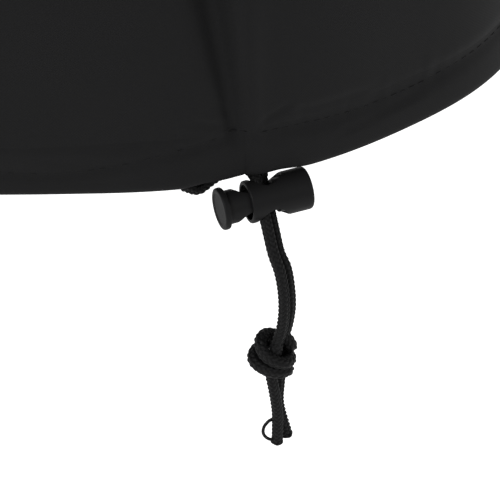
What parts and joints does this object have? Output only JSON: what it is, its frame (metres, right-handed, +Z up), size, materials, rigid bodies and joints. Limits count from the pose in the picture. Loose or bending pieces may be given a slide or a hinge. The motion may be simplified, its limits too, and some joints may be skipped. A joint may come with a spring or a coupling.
{
  "type": "grill cover",
  "caption": "Fitted black fabric cover for a portable grill, open underneath, with a drawcord in its hem and a sprung barrel cord lock.",
  "frame": {"origin": "middle of the underside of the top panel, where the cover rests on the lid of the grill", "axes": "+X along the cover's length, -Y towards the front, +Z up"},
  "size_m": [0.7044, 0.4946, 0.4205],
  "materials": {
    "coated_fabric": "smooth matte black coated polyester with a fine plain weave",
    "seam_tape": "black binding tape with a ribbed weave",
    "sewing_thread": "black twisted polyester thread with a slight sheen",
    "braided_cord": "black tubular braid of shiny fine yarns",
    "melted_tip": "heat-sealed braid end, dull black",
    "lock_plastic": "black moulded nylon with a fine satin texture",
    "spring_steel": "bright drawn spring wire"
  },
  "bodies": {
    "cover": {"top_panel": "coated_fabric", "front_panel": "coated_fabric", "back_panel": "coated_fabric", "left_end_panel": "coated_fabric", "right_end_panel": "coated_fabric", "front_hem": "coated_fabric", "back_hem": "coated_fabric", "left_hem": "coated_fabric", "right_hem": "coated_fabric", "corner_seam_tapes": "seam_tape", "corner_seam_thread": "sewing_thread", "top_seam_thread": "sewing_thread", "hem_thread": "sewing_thread", "bar_tacks": "sewing_thread", "drawcord": "braided_cord", "left_lead": "braided_cord", "right_lead": "braided_cord", "left_strand": "braided_cord", "right_strand": "braided_cord", "knot": "braided_cord", "left_tail": "braided_cord", "right_tail": "braided_cord", "cord_tips": "melted_tip"},
    "cord_lock": {"lock_barrel": "lock_plastic", "lock_spring": "spring_steel"},
    "plunger": {"lock_plunger": "lock_plastic"}
  },
  "joints": [
    {"name": "lock_slide", "type": "slide", "parent": "cover", "child": "cord_lock", "axis": [0.2255, -0.5875, -0.7771], "range_m": [0, 0.01]},
    {"name": "plunger_press", "type": "slide", "parent": "cord_lock", "child": "plunger", "axis": [0.9336, 0.3584, 0], "range_m": [0, 0.004], "stiffness_N_per_m": 900, "springref_m": -0.004, "deforming": ["lock_spring"]}
  ]
}
